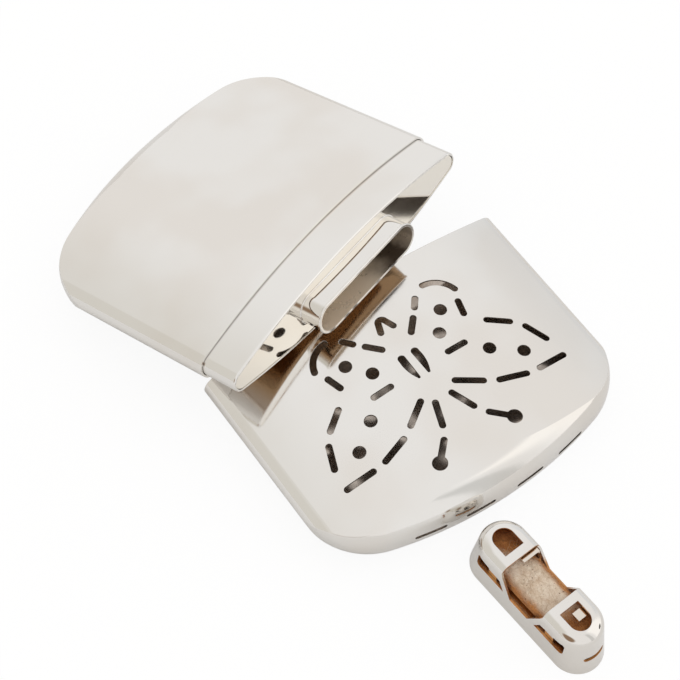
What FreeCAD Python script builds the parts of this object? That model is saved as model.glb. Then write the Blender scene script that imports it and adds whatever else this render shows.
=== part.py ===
"""Catalytic pocket hand warmer, taken apart: cap, fuel tank and burner.

The cap lies flat on the table with its vented face up. The tank leans with its collar on the
cap's mouth and its closed end on the table. The burner stands on its skirt beyond the cap.
"""
import FreeCAD, Part
import math
import os

import Sketcher
from FreeCAD import Placement, Rotation, Vector

# Driving sizes in millimetres and degrees: alias and value.
SIZES = (
    # the case: a lens section drawn out along Y, with an arched closed end
    ("half_width", 34.0),
    ("half_depth", 6.55),
    ("side_radius", 2.9),
    ("wall", 0.4),
    ("cap_length", 50.3),
    ("tank_length", 49.2),
    ("end_arch", 7.0),
    ("corner_radius", 14.4),
    ("end_round_share", 0.93),
    # the collar on which the cap slides, and the plate that closes it
    ("collar_length", 8.0),
    ("collar_seat", 4.0),
    ("collar_wall", 0.5),
    ("cap_gap", 0.1),
    ("fold_round", 0.4),
    ("plate_recess", 0.1),
    ("plate_depth", 2.5),
    ("plate_wall", 0.45),
    # the filler neck
    ("neck_rise", 4.9),
    ("neck_wall", 0.4),
    ("neck_tail", 1.2),
    ("neck_side_gap", 0.6),
    ("lip_height", 0.5),
    ("lip_proud", 0.2),
    # the burner: hood, inner cage, grid and catalyst pad
    ("hood_length", 31.8),
    ("hood_width", 10.2),
    ("hood_height", 11.5),
    ("hood_wall", 0.45),
    ("end_lean", 1.7),
    ("side_lean", 0.45),
    ("hood_round", 2.2),
    ("end_round_in", 3.2),
    ("side_round_in", 1.8),
    ("saddle_half", 5.45),
    ("saddle_floor_half", 2.3),
    ("saddle_floor", 4.9),
    ("saddle_shoulder", 10.3),
    ("dome_window_start", 7.2),
    ("dome_window_end", 12.2),
    ("dome_window_half", 2.15),
    ("side_window_start", 4.1),
    ("side_window_end", 11.5),
    ("side_window_floor", 0.6),
    ("side_window_top", 3.9),
    ("side_window_slant", 1.3),
    ("side_window_drop", 1.0),
    ("end_slot_height", 1.2),
    ("end_slot_half", 2.3),
    ("end_slot_level", 4.7),
    ("cage_height", 4.7),
    ("cage_wall", 0.3),
    ("tongue_place", 7.6),
    ("tongue_width", 2.1),
    ("tongue_rise", 3.0),
    ("claw_level", 10.4),
    ("claw_width", 1.85),
    ("claw_reach", 3.7),
    ("grid_thickness", 0.3),
    ("grid_slot", 1.2),
    ("pad_top", 9.0),
    ("pad_round", 1.6),
    # vents in the cap
    ("vent_slot", 1.34),
    ("vent_hole_radius", 1.3),
    ("tail_hole_radius", 1.5),
    ("end_vent_length", 6.4),
    ("end_vent_height", 1.1),
    ("end_vent_inner", 5.7),
    ("end_vent_outer", 16.1),
    # soft filling
    ("soft_gap", 0.3),
    ("wick_sink", 0.6),
    # clearances and overcuts
    ("seat_gap", 0.05),
    ("slip_gap", 0.1),
    ("overcut", 1.0),
    # how the three groups lie on the table
    ("tank_yaw", 16.7),
    ("tank_shift", -0.6),
    ("collar_overhang", 1.6),
    ("lean_gap", 0.002),
    ("burner_yaw", -86.0),
    ("burner_shift", -7.0),
    ("burner_gap", 2.8),
)

# The butterfly of vents: x from the axis and depth from the cap's mouth, for the right wing.
WING_SLOTS = (
    ((8.5, 9.3), (7.2, 10.9)),
    ((5.6, 12.7), (3.4, 15.1)),
    ((15.2, 14.2), (14.4, 17.1)),
    ((10.5, 22.5), (6.7, 22.5)),
    ((17.3, 20.6), (20.9, 23.2)),
    ((22.9, 25.6), (24.6, 29.9)),
    ((25.0, 34.6), (19.3, 34.7)),
    ((16.3, 34.4), (11.1, 32.8)),
    ((8.4, 31.3), (4.0, 28.3)),
    ((1.9, 30.1), (3.6, 34.7)),
)
WING_ARC = ((11.5, 7.6), (14.7, 8.8), (16.4, 11.5))
WING_HOLES = ((11.1, 14.0), (7.8, 18.2), (13.8, 26.1), (19.1, 30.0))
TAIL_SLOT = ((5.2, 37.3), (8.6, 40.7))
# The antennae: depth of the nose's hub, then the end of the right arm.
ANTENNA = (10.3, (1.45, 11.95))
# A leaf: its straight edge beside the axis, then points on its tip, outer edge and head.
LEAF = ((0.75, 18.8), (0.85, 23.9), (1.15, 24.2), (1.45, 23.9), (2.25, 21.5), (2.3, 19.1),
        (1.45, 18.1))

doc = FreeCAD.newDocument("hand_warmer")
sheet = doc.addObject("Spreadsheet::Sheet", "dims")
for row, (alias, value) in enumerate(SIZES, 1):
    sheet.set(f"A{row}", alias)
    sheet.set(f"B{row}", str(value))
    sheet.setAlias(f"B{row}", alias)
doc.recompute()


def mm(expression):
    """Value of an expression in the sheet's aliases."""
    return float(sheet.evalExpression(expression))


# Expressions that several pieces share.
CROWN_RADIUS = (
    "(((dims.half_width - dims.side_radius)^2 + dims.half_depth^2 - dims.side_radius^2)"
    " / (2 * (dims.half_depth - dims.side_radius)))"
)
ARCH_RADIUS = "((dims.half_width^2 + dims.end_arch^2) / (2 * dims.end_arch))"
END_ROUND = "(dims.end_round_share * dims.half_depth)"
COLLAR_INSET = "(dims.wall + dims.cap_gap)"
BAND_BORE_INSET = f"({COLLAR_INSET} + dims.collar_wall)"
PLATE_TOP = "(dims.collar_length - dims.plate_recess)"
NECK_TOP = f"({PLATE_TOP} + dims.neck_rise)"
CAGE_LENGTH = (
    "(dims.hood_length - 2 * (dims.end_lean * dims.cage_height / dims.hood_height"
    " + dims.hood_wall + dims.seat_gap))"
)
CAGE_WIDTH = (
    "(dims.hood_width - 2 * (dims.side_lean * dims.cage_height / dims.hood_height"
    " + dims.hood_wall + dims.seat_gap))"
)
NECK_LENGTH = f"({CAGE_LENGTH} - 2 * (dims.cage_wall + dims.slip_gap + dims.lip_proud))"
NECK_HEIGHT = f"({CAGE_WIDTH} - 2 * (dims.cage_wall + dims.neck_side_gap + dims.lip_proud))"


# Steps of the loft round the hood's shoulder, and the fillet inside the antennae's nose.
SHOULDER_STEPS = 4
NOSE_FILLET = 0.1


# ---------------------------------------------------------------- sketch and feature helpers

def new_body(name, base=None):
    """A body, empty or started from another object's shape."""
    body = doc.addObject("PartDesign::Body", name)
    if base is not None:
        doc.recompute()
        body.BaseFeature = base
        doc.recompute()
    return body


def sketch_on(body, name, role, level, geometry, rules=(), sizes=()):
    """A sketch on one of the body's origin planes, raised by level along the plane's normal.

    rules are plain constraints; sizes are (name, constraint without value, expression).
    """
    sketch = body.newObject("Sketcher::SketchObject", name)
    plane = next(part for part in body.Origin.OriginFeatures if part.Role == role)
    sketch.AttachmentSupport = (plane, [""])
    sketch.MapMode = "FlatFace"
    sketch.setExpression("AttachmentOffset.Base.z", level)
    sketch.addGeometry(list(geometry), False)
    for rule in rules:
        sketch.addConstraint(Sketcher.Constraint(*rule))
    for label, rule, expression in sizes:
        index = sketch.addConstraint(Sketcher.Constraint(*rule, mm(expression)))
        sketch.renameConstraint(index, label)
        sketch.setExpression("Constraints." + label, expression)
    doc.recompute()
    return sketch


def pad(body, sketch, length, reverse=False, midplane=False):
    """A pad of the sketch, along the plane's normal unless reversed."""
    feature = body.newObject("PartDesign::Pad", sketch.Name + "_pad")
    feature.Profile = sketch
    feature.Reversed = reverse
    feature.Midplane = midplane
    feature.setExpression("Length", length)
    doc.recompute()
    return feature


def pocket(body, sketch, depth=None, reverse=False):
    """A pocket of the sketch, through everything both ways when no depth is given."""
    before = body.Tip.Shape.Volume
    feature = body.newObject("PartDesign::Pocket", sketch.Name + "_pocket")
    feature.Profile = sketch
    feature.Reversed = reverse
    if depth is None:
        feature.Type = "ThroughAll"
        feature.Midplane = True
    else:
        feature.setExpression("Length", depth)
    doc.recompute()
    if not feature.Shape.Volume < before:
        raise RuntimeError(f"{feature.Name} cuts nothing")
    return feature


def fillet(body, name, wanted, radius):
    """A fillet on the edges of the body's tip that wanted accepts."""
    tip = body.Tip
    edges = [f"Edge{i}" for i, edge in enumerate(tip.Shape.Edges, 1) if wanted(edge)]
    feature = body.newObject("PartDesign::Fillet", name)
    feature.Base = (tip, edges)
    feature.setExpression("Radius", radius)
    doc.recompute()
    return feature


def at_level(level, axis="z"):
    """Test for edges that lie wholly at one level along an axis."""
    return lambda edge: all(abs(getattr(v.Point, axis) - level) < 1e-4 for v in edge.Vertexes)


def lens_rim(level, inset):
    """Test for the edges of a lens section, offset by inset, at a level along Y."""
    reach, radius = mm("dims.half_width - dims.side_radius"), mm(f"dims.side_radius - {inset}")

    def on_side_arc(vertex):
        return abs(math.hypot(abs(vertex.X) - reach, vertex.Z) - radius) < 1e-4

    return lambda edge: at_level(level, "y")(edge) and all(map(on_side_arc, edge.Vertexes))


def arc(centre, radius, start, end):
    """Arc of a circle, counter-clockwise between two angles in radians."""
    circle = Part.Circle(Vector(centre[0], centre[1], 0), Vector(0, 0, 1), radius)
    return Part.ArcOfCircle(circle, start, end)


def line(start, end):
    return Part.LineSegment(Vector(*start, 0), Vector(*end, 0))


def outline(points):
    """Closed outline of straight lines through the points."""
    return [line(start, end) for start, end in zip(points, points[1:] + points[:1])]


def round_slot(start, end, radius):
    """Outline of a straight slot round two centres."""
    along = math.atan2(end[1] - start[1], end[0] - start[0])
    left, right = along + math.pi / 2, along - math.pi / 2

    def rim(centre, angle):
        return centre[0] + radius * math.cos(angle), centre[1] + radius * math.sin(angle)

    return [
        arc(start, radius, left, left + math.pi),
        line(rim(start, right), rim(end, right)),
        arc(end, radius, right, left),
        line(rim(end, left), rim(start, left)),
    ]


def circle_through(start, middle, end):
    """Centre, radius and the two end angles, counter-clockwise, of the arc through three points."""
    curve = Part.Arc(*(Vector(*point, 0) for point in (start, middle, end))).toShape().Curve
    hub = (curve.Center.x, curve.Center.y)
    first, mid, last = (math.atan2(p[1] - hub[1], p[0] - hub[0]) for p in (start, middle, end))
    turn = 2 * math.pi
    if (last - first) % turn < (mid - first) % turn:
        first, last = last, first
    return hub, curve.Radius, first, first + (last - first) % turn


def arc_through(start, middle, end):
    return arc(*circle_through(start, middle, end))


def curved_slot(start, middle, end, radius):
    """Outline of a slot whose centre line is the arc through three points."""
    hub, bend, first, last = circle_through(start, middle, end)
    start, end = ((hub[0] + bend * math.cos(angle), hub[1] + bend * math.sin(angle))
                  for angle in (first, last))
    return [
        arc(hub, bend + radius, first, last),
        arc(end, radius, last, last + math.pi),
        arc(hub, bend - radius, first, last),
        arc(start, radius, first + math.pi, first + 2 * math.pi),
    ]


def lens_sketch(body, name, level, inset):
    """The case's section on XZ: two crown arcs and two tangent side arcs, offset by inset."""
    crown = mm(f"{CROWN_RADIUS} - {inset}")
    side = mm(f"dims.side_radius - {inset}")
    reach = mm("dims.half_width - dims.side_radius")
    drop = math.sqrt((crown - side) ** 2 - reach ** 2)
    turn = math.atan2(drop, reach)
    arcs = [
        arc((0, -drop), crown, turn, math.pi - turn),
        arc((-reach, 0), side, math.pi - turn, math.pi + turn),
        arc((0, drop), crown, math.pi + turn, 2 * math.pi - turn),
        arc((reach, 0), side, -turn, turn),
    ]
    rules = [("Tangent", i, 2, (i + 1) % 4, 1) for i in range(4)]
    rules += [("Equal", 0, 2), ("Equal", 1, 3), ("PointOnObject", 0, 3, -2)]
    rules += [("PointOnObject", i, 3, -1) for i in (1, 3)]
    sizes = (
        ("crown_radius", ("Radius", 0), f"{CROWN_RADIUS} - {inset}"),
        ("side_radius", ("Radius", 1), f"dims.side_radius - {inset}"),
        ("side_reach", ("DistanceX", -1, 1, 3, 3), "dims.half_width - dims.side_radius"),
    )
    return sketch_on(body, name, "XZ_Plane", level, arcs, rules, sizes)


def plan_sketch(body, name, length, inset):
    """The case's outline on XY: straight sides, round corners and an arched closed end."""
    arch, corner = mm(f"{ARCH_RADIUS} - {inset}"), mm(f"dims.corner_radius - {inset}")
    half, top = mm(f"dims.half_width - {inset}"), mm("2 * dims.overcut")
    hub_y = mm(f"{ARCH_RADIUS} - {length}")
    hub_x = half - corner
    turn = math.acos(hub_x / (arch - corner))
    corner_y = hub_y - (arch - corner) * math.sin(turn)
    chain = [
        line((half, top), (-half, top)),
        line((-half, top), (-half, corner_y)),
        arc((-hub_x, corner_y), corner, -math.pi, turn - math.pi),
        arc((0, hub_y), arch, turn - math.pi, -turn),
        arc((hub_x, corner_y), corner, -turn, 0),
        line((half, corner_y), (half, top)),
    ]
    rules = [("Coincident", 5, 2, 0, 1), ("Coincident", 0, 2, 1, 1)]
    rules += [("Tangent", i, 2, i + 1, 1) for i in range(1, 5)]
    rules += [("Symmetric", 0, 1, 0, 2, -2), ("Vertical", 1), ("Vertical", 5), ("Equal", 2, 4)]
    rules += [("PointOnObject", 3, 3, -2)]
    sizes = (
        ("corner_radius", ("Radius", 2), f"dims.corner_radius - {inset}"),
        ("arch_radius", ("Radius", 3), f"{ARCH_RADIUS} - {inset}"),
        ("half_width", ("DistanceX", -1, 1, 5, 1), f"dims.half_width - {inset}"),
        ("mouth_line", ("DistanceY", -1, 1, 0, 1), "2 * dims.overcut"),
        ("arch_centre", ("DistanceY", -1, 1, 3, 3), f"{ARCH_RADIUS} - {length}"),
    )
    return sketch_on(body, name, "XY_Plane", "0", chain, rules, sizes)


def stadium_sketch(body, name, role, level, length, width):
    """Two straight sides and two round ends, centred on the plane's origin."""
    radius, reach = mm(f"({width}) / 2"), mm(f"(({length}) - ({width})) / 2")
    quarter = math.pi / 2
    chain = [
        line((-reach, -radius), (reach, -radius)),
        arc((reach, 0), radius, -quarter, quarter),
        line((reach, radius), (-reach, radius)),
        arc((-reach, 0), radius, quarter, 3 * quarter),
    ]
    rules = [("Tangent", i, 2, (i + 1) % 4, 1) for i in range(4)]
    rules += [("PointOnObject", 1, 3, -1), ("Symmetric", 1, 3, 3, 3, -1, 1)]
    sizes = (
        ("end_radius", ("Radius", 1), f"({width}) / 2"),
        ("end_reach", ("DistanceX", -1, 1, 1, 3), f"(({length}) - ({width})) / 2"),
    )
    return sketch_on(body, name, role, level, chain, rules, sizes)


# ---------------------------------------------------------------- the case

def case_form(name, length, inset="0", mouth="0"):
    """Solid of the case's form, offset inwards: lens section and arched plan in common.

    Its mouth is at y = mouth and its closed end at y = -length + inset.
    """
    section = new_body(name + "_section")
    lens = lens_sketch(section, name + "_lens", f"-({mouth})", inset)
    pad(section, lens, f"{length} + ({mouth}) + dims.overcut")
    plan = new_body(name + "_plan")
    arched = plan_sketch(plan, name + "_arch", length, inset)
    pad(plan, arched, f"2 * (dims.half_depth - {inset})", midplane=True)
    mouth_line = mm("2 * dims.overcut")
    skin = mm(f"dims.half_depth - {inset}")

    def closed_end(edge):
        level = abs(edge.Vertexes[0].Z)
        flat = at_level(level)(edge) or at_level(-level)(edge)
        return flat and abs(level - skin) < 1e-4 and not at_level(mouth_line, "y")(edge)

    fillet(plan, name + "_round", closed_end, f"{END_ROUND} - {inset}")
    form = doc.addObject("Part::MultiCommon", name)
    form.Shapes = [section, plan]
    doc.recompute()
    return form


def case_shell(name, length):
    """Drawn cup: the case's form with its inside, one wall smaller, cut out."""
    shell = doc.addObject("Part::Cut", name)
    shell.Base = case_form(name + "_outside", length)
    shell.Tool = case_form(name + "_inside", length, "dims.wall", "dims.overcut")
    doc.recompute()
    return shell


def butterfly():
    """Closed outlines of the vents, seen from above with the cap's mouth at y = 0."""
    half = mm("dims.vent_slot / 2")
    hole = mm("dims.vent_hole_radius")
    tail_hole = mm("dims.tail_hole_radius")
    shapes = []
    for side in (1, -1):
        def place(point):
            return side * point[0], -point[1]

        shapes += [round_slot(place(a), place(b), half) for a, b in WING_SLOTS]
        shapes.append(curved_slot(*map(place, WING_ARC), half))
        shapes += [[Part.Circle(Vector(*place(spot), 0), Vector(0, 0, 1), hole)]
                   for spot in WING_HOLES]
        shapes.append(leaf(*map(place, LEAF)))
        shapes.append(key_slot(place(TAIL_SLOT[0]), place(TAIL_SLOT[1]), half, tail_hole))
    shapes.append(chevron(half))
    return [element for shape in shapes for element in shape]


def leaf(head, foot, tip, turn, bulge, shoulder, top):
    """A straight edge from head to foot, closed by arcs round the tip, outer edge and top."""
    return [line(head, foot), arc_through(foot, tip, turn), arc_through(turn, bulge, shoulder),
            arc_through(shoulder, top, head)]


def key_slot(start, hub, half, radius):
    """A slot that ends in a larger round hole."""
    angle = math.atan2(start[1] - hub[1], start[0] - hub[0])
    spread = math.asin(half / radius)
    meet = [(hub[0] + radius * math.cos(angle + s * spread),
             hub[1] + radius * math.sin(angle + s * spread)) for s in (1, -1)]
    side = [(start[0] + half * math.cos(angle + s * math.pi / 2),
             start[1] + half * math.sin(angle + s * math.pi / 2)) for s in (1, -1)]
    return [
        arc(hub, radius, angle + spread, angle - spread + 2 * math.pi),
        line(meet[1], side[1]),
        arc(start, half, angle - math.pi / 2, angle + math.pi / 2),
        line(side[0], meet[0]),
    ]


def chevron(half):
    """The antennae: two straight arms that splay from a round nose towards the mouth."""
    hub_depth, (arm_x, arm_depth) = ANTENNA
    hub = (0.0, -hub_depth)
    drop = arm_depth - hub_depth
    bend = half + NOSE_FILLET
    tilt = math.atan2(arm_x, drop) - math.asin(bend / math.hypot(arm_x, drop))

    def off(centre, radius, side):
        """Point at a radius from a centre, square to the arm on one side."""
        return centre[0] + side * radius * math.cos(tilt), centre[1] + radius * math.sin(tilt)

    outer, inner = bend + half, bend - half
    left, right = (-arm_x, -arm_depth), (arm_x, -arm_depth)
    return [
        arc(hub, outer, tilt, math.pi - tilt),
        line(off(hub, outer, -1), off(left, half, -1)),
        arc(left, half, math.pi - tilt, 2 * math.pi - tilt),
        line(off(left, -half, -1), off(hub, inner, -1)),
        arc(hub, inner, tilt, math.pi - tilt),
        line(off(hub, inner, 1), off(right, -half, 1)),
        arc(right, half, tilt - math.pi, tilt),
        line(off(right, half, 1), off(hub, outer, 1)),
    ]


def make_cap():
    """The cap, with the butterfly of vents in its upper face and four slots in its end."""
    cap = new_body("cap_shell", case_shell("cap_blank", "dims.cap_length"))
    wings = sketch_on(cap, "butterfly_vents", "XY_Plane", "0", butterfly())
    pocket(cap, wings, "dims.half_depth + dims.overcut", reverse=True)
    half = mm("dims.end_vent_height / 2")
    reach = mm("(dims.end_vent_length - dims.end_vent_height) / 2")
    centres = [side * mm(f"dims.end_vent_{spot}") for side in (1, -1) for spot in ("inner", "outer")]
    slots = [element for x in centres for element in round_slot((x - reach, 0), (x + reach, 0), half)]
    row = sketch_on(cap, "end_vents", "XZ_Plane", "dims.cap_length + dims.overcut", slots)
    pocket(cap, row, "dims.overcut + dims.end_arch")
    return cap


def make_collar():
    """The collar: a band seated inside the tank's mouth, on which the cap slides."""
    collar = new_body("collar_band")
    section = lens_sketch(collar, "collar_section", "dims.collar_seat", COLLAR_INSET)
    pad(collar, section, "dims.collar_seat + dims.collar_length", reverse=True)
    front = lens_rim(mm("dims.collar_length"), COLLAR_INSET)
    fillet(collar, "collar_fold", front, "dims.fold_round")
    pocket(collar, lens_sketch(collar, "collar_bore", "0", BAND_BORE_INSET))
    return collar


def make_plate():
    """The plate that closes the collar: a shallow tray, upside down, pierced for the neck."""
    plate = new_body("neck_plate")
    rim = f"({BAND_BORE_INSET} + dims.seat_gap)"
    tray = lens_sketch(plate, "plate_tray", f"-({PLATE_TOP})", rim)
    pad(plate, tray, "dims.plate_depth")
    fillet(plate, "plate_fold", lens_rim(mm(PLATE_TOP), rim), "dims.fold_round / 2")
    hollow = lens_sketch(plate, "plate_hollow", f"dims.plate_depth - {PLATE_TOP}",
                         f"({rim} + dims.plate_wall)")
    pocket(plate, hollow, "dims.plate_depth - dims.plate_wall")
    hole = stadium_sketch(plate, "plate_hole", "XZ_Plane", "0",
                          f"{NECK_LENGTH} + 2 * dims.seat_gap", f"{NECK_HEIGHT} + 2 * dims.seat_gap")
    pocket(plate, hole)
    return plate


def make_neck():
    """The flat filler neck, with a rolled lip."""
    neck = new_body("filler_neck")
    tube = stadium_sketch(neck, "neck_tube", "XZ_Plane", f"-({NECK_TOP})", NECK_LENGTH, NECK_HEIGHT)
    pad(neck, tube, "dims.neck_rise + dims.plate_wall + dims.neck_tail")
    lip = stadium_sketch(neck, "neck_lip", "XZ_Plane", f"-({NECK_TOP})",
                         f"{NECK_LENGTH} + 2 * dims.lip_proud", f"{NECK_HEIGHT} + 2 * dims.lip_proud")
    pad(neck, lip, "dims.lip_height")
    top = mm(NECK_TOP)
    under = mm(f"{NECK_TOP} - dims.lip_height")
    roll = "min(dims.lip_height; 2 * dims.lip_proud) * 0.45"

    def lip_edge(edge):
        proud = max(abs(v.Z) for v in edge.Vertexes) > mm(f"{NECK_HEIGHT} / 2") + 1e-4
        return proud and (at_level(top, "y")(edge) or at_level(under, "y")(edge))

    fillet(neck, "lip_roll", lip_edge, roll)
    pocket(neck, stadium_sketch(neck, "neck_bore", "XZ_Plane", "0",
                                f"{NECK_LENGTH} - 2 * dims.neck_wall",
                                f"{NECK_HEIGHT} - 2 * dims.neck_wall"))
    return neck


def make_wadding():
    """The cotton that fills the tank, up to the underside of the plate's skirt."""
    top = f"({PLATE_TOP} - dims.plate_depth - dims.soft_gap)"
    form = case_form("fuel_wadding", "dims.tank_length", f"({BAND_BORE_INSET} + dims.soft_gap)", top)
    return form


def make_wick():
    """The felt plug that stands on the wadding and closes the foot of the neck."""
    wick = new_body("neck_wick")
    foot = f"({PLATE_TOP} - dims.plate_depth - dims.soft_gap + dims.seat_gap)"
    top = f"({PLATE_TOP} - dims.wick_sink)"
    margin = "2 * (dims.neck_wall + dims.slip_gap)"
    plug = stadium_sketch(wick, "wick_plug", "XZ_Plane", f"-({foot})",
                          f"{NECK_LENGTH} - {margin}", f"{NECK_HEIGHT} - {margin}")
    pad(wick, plug, f"{top} - {foot}", reverse=True)
    return wick


# ---------------------------------------------------------------- the burner

def hood_ring(form, name, inset, angle=None):
    """Stadium section of the hood at its foot, or at an angle up its rounded shoulder."""
    if angle is None:
        level, turned = "0", "0"
    else:
        level = f"(dims.hood_height - dims.hood_round + (dims.hood_round - {inset}) * sin({angle} deg))"
        turned = f"(1 - cos({angle} deg))"
    margins = [f"({inset} + dims.{way}_lean * {level} / dims.hood_height"
               f" + (dims.{way}_round_in - {inset}) * {turned})" for way in ("end", "side")]
    return stadium_sketch(form, name, "XY_Plane", level, f"dims.hood_length - 2 * {margins[0]}",
                          f"dims.hood_width - 2 * {margins[1]}")


def hood_form(name, inset="0"):
    """Solid of the hood's form: leaning walls on a stadium foot, and a rounded shoulder."""
    form = new_body(name)
    walls = form_loft(form, name + "_walls", [hood_ring(form, name + "_foot", inset),
                                              hood_ring(form, name + "_eaves", inset, 0)])
    walls.Ruled = True
    rings = [hood_ring(form, f"{name}_ring_{i}", inset, i * 90 / SHOULDER_STEPS)
             for i in range(SHOULDER_STEPS + 1)]
    form_loft(form, name + "_shoulder", rings)
    return form


def form_loft(form, name, rings):
    """A loft through the rings, added to the body."""
    loft = form.newObject("PartDesign::AdditiveLoft", name)
    loft.Profile = rings[0]
    loft.Sections = rings[1:]
    doc.recompute()
    return loft


def saddle_outline():
    """Outline on XZ: a short flat floor, splayed sides, then straight up past the roof."""
    half, floor_half = mm("dims.saddle_half"), mm("dims.saddle_floor_half")
    floor, shoulder = mm("dims.saddle_floor"), mm("dims.saddle_shoulder")
    top = mm("dims.hood_height + dims.overcut")
    return outline([(-floor_half, floor), (floor_half, floor), (half, shoulder), (half, top),
                    (-half, top), (-half, shoulder)])


def side_window_outlines():
    """A long window in each half of a side, on XZ, slanted and lower beside the saddle.

    Its floor and top are measured from the cage, whose tongues stand behind it.
    """
    floor = mm("dims.cage_height + dims.side_window_floor")
    top = mm("dims.cage_height + dims.side_window_top")
    start, end = mm("dims.side_window_start"), mm("dims.side_window_end")
    slant, drop = mm("dims.side_window_slant"), mm("dims.side_window_drop")
    corner = slant / 3
    windows = []
    for side in (1, -1):
        windows += outline([(side * x, z) for x, z in (
            (start, floor), (end - corner, floor), (end, floor + corner), (end, top - corner),
            (end - corner, top), (start + slant, top - drop))])
    return windows


def dome_window_outlines():
    """A D-shaped window in each dome: straight towards the saddle, round towards the end."""
    start, end = mm("dims.dome_window_start"), mm("dims.dome_window_end")
    half = mm("dims.dome_window_half")
    hub, quarter = end - half, math.pi / 2
    windows = []
    for side, first in ((1, -quarter), (-1, quarter)):
        windows += [
            line((side * start, side * half), (side * start, -side * half)),
            line((side * start, -side * half), (side * hub, -side * half)),
            arc((side * hub, 0), half, first, first + math.pi),
            line((side * hub, side * half), (side * start, side * half)),
        ]
    return windows


def make_hood():
    """The burner's sheet hood, pierced by the saddle, the windows and the end slots."""
    blank = doc.addObject("Part::Cut", "hood_blank")
    blank.Base = hood_form("hood_outside")
    blank.Tool = hood_form("hood_inside", "dims.hood_wall")
    hood = new_body("burner_hood", blank)
    roof = sketch_on(hood, "dome_windows", "XY_Plane", "dims.cage_height", dome_window_outlines())
    pocket(hood, roof, "dims.hood_height", reverse=True)
    saddle = sketch_on(hood, "saddle_opening", "XZ_Plane", "0", saddle_outline())
    pocket(hood, saddle)
    sides = sketch_on(hood, "side_windows", "XZ_Plane", "0", side_window_outlines())
    pocket(hood, sides)
    reach, half = mm("dims.end_slot_half"), mm("dims.end_slot_height / 2")
    level = mm("dims.end_slot_level")
    slot = round_slot((half - reach, level), (reach - half, level), half)
    ends = sketch_on(hood, "end_slots", "YZ_Plane", "0", slot)
    pocket(hood, ends)
    return hood


def strip_profile(*corners):
    """Section on YZ of a bent strip of the cage's sheet, given the corners of its outer face.

    Corners are (y, z) from the foot up; the strip lies one sheet towards the middle, and its
    last run, if level, lies one sheet lower.
    """
    sheet_thickness = mm("dims.cage_wall")
    inner = []
    for i, (y, z) in enumerate(corners):
        level_run = i and abs(corners[i][1] - corners[i - 1][1]) < 1e-6
        bend = i + 1 < len(corners) and abs(corners[i + 1][1] - z) < 1e-6
        inner.append((y if level_run else y - sheet_thickness,
                      z - sheet_thickness if level_run or bend else z))
    return outline(list(corners) + inner[::-1])


def claw_root():
    """Half-width at which the claws bend over, just inside the hood's rounded shoulder."""
    shoulder = mm("dims.hood_round - dims.hood_wall")
    climb = mm("dims.claw_level - dims.hood_height + dims.hood_round") / shoulder
    turn = math.asin(min(max(climb, 0), 1))
    inward = mm("dims.side_round_in - dims.hood_wall") * (1 - math.cos(turn))
    return mm("dims.hood_width / 2 - dims.side_lean - dims.hood_wall - dims.slip_gap") - inward


def make_cage():
    """The inner sleeve that grips the neck, with four side tongues and two claws on the pad."""
    cage = new_body("burner_cage")
    ring = stadium_sketch(cage, "cage_sleeve", "XY_Plane", "dims.seat_gap", CAGE_LENGTH, CAGE_WIDTH)
    pad(cage, ring, "dims.cage_height - dims.seat_gap")
    pocket(cage, stadium_sketch(cage, "cage_bore", "XY_Plane", "0",
                                f"{CAGE_LENGTH} - 2 * dims.cage_wall",
                                f"{CAGE_WIDTH} - 2 * dims.cage_wall"))
    face = mm(f"{CAGE_WIDTH} / 2")
    foot, rim = mm("dims.cage_height - dims.cage_wall"), mm("dims.cage_height + dims.tongue_rise")
    for name, place in (("left", "(-dims.tongue_place)"), ("right", "dims.tongue_place")):
        for side in (1, -1):
            tongue = strip_profile((face, foot), (face, rim))
            label = f"{name}_tongue_{'far' if side > 0 else 'near'}"
            profile = sketch_on(cage, label, "YZ_Plane", place, mirrored(tongue, side))
            pad(cage, profile, "dims.tongue_width", midplane=True)
    level, root = mm("dims.claw_level"), claw_root()
    claw = strip_profile((face, foot), (root, level), (root - mm("dims.claw_reach"), level))
    for name, place in (("right_claw", "(dims.dome_window_start + dims.claw_width)"),
                        ("left_claw", "(-dims.saddle_half)")):
        profile = sketch_on(cage, name, "YZ_Plane", place, claw)
        pad(cage, profile, "dims.claw_width", midplane=True)
    return cage


def mirrored(lines, side):
    """The lines as they are, or mirrored in the plane's upright axis if side is -1."""
    return [line(*((side * end.x, end.y) for end in (edge.StartPoint, edge.EndPoint)))
            for edge in lines]


def make_grid():
    """The slotted tray that closes the sleeve's top and carries the pad."""
    grid = new_body("pad_grid")
    margin = "2 * (dims.cage_wall + dims.seat_gap)"
    length, width = f"({CAGE_LENGTH} - {margin})", f"({CAGE_WIDTH} - {margin})"
    plate = stadium_sketch(grid, "grid_plate", "XY_Plane", "dims.cage_height - dims.grid_thickness",
                           length, width)
    pad(grid, plate, "dims.grid_thickness")
    half, reach = mm("dims.grid_slot / 2"), mm(f"{width} / 2 - dims.grid_slot")
    pitch = 2 * mm("dims.grid_slot")
    count = int(mm(f"({length} - {width}) / (4 * dims.grid_slot)"))
    corners = ((-half, -reach), (half, -reach), (half, reach), (-half, reach))
    slots = [edge for i in range(-count, count + 1)
             for edge in outline([(i * pitch + x, y) for x, y in corners])]
    pocket(grid, sketch_on(grid, "grid_slots", "XY_Plane", "0", slots))
    return grid


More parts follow.
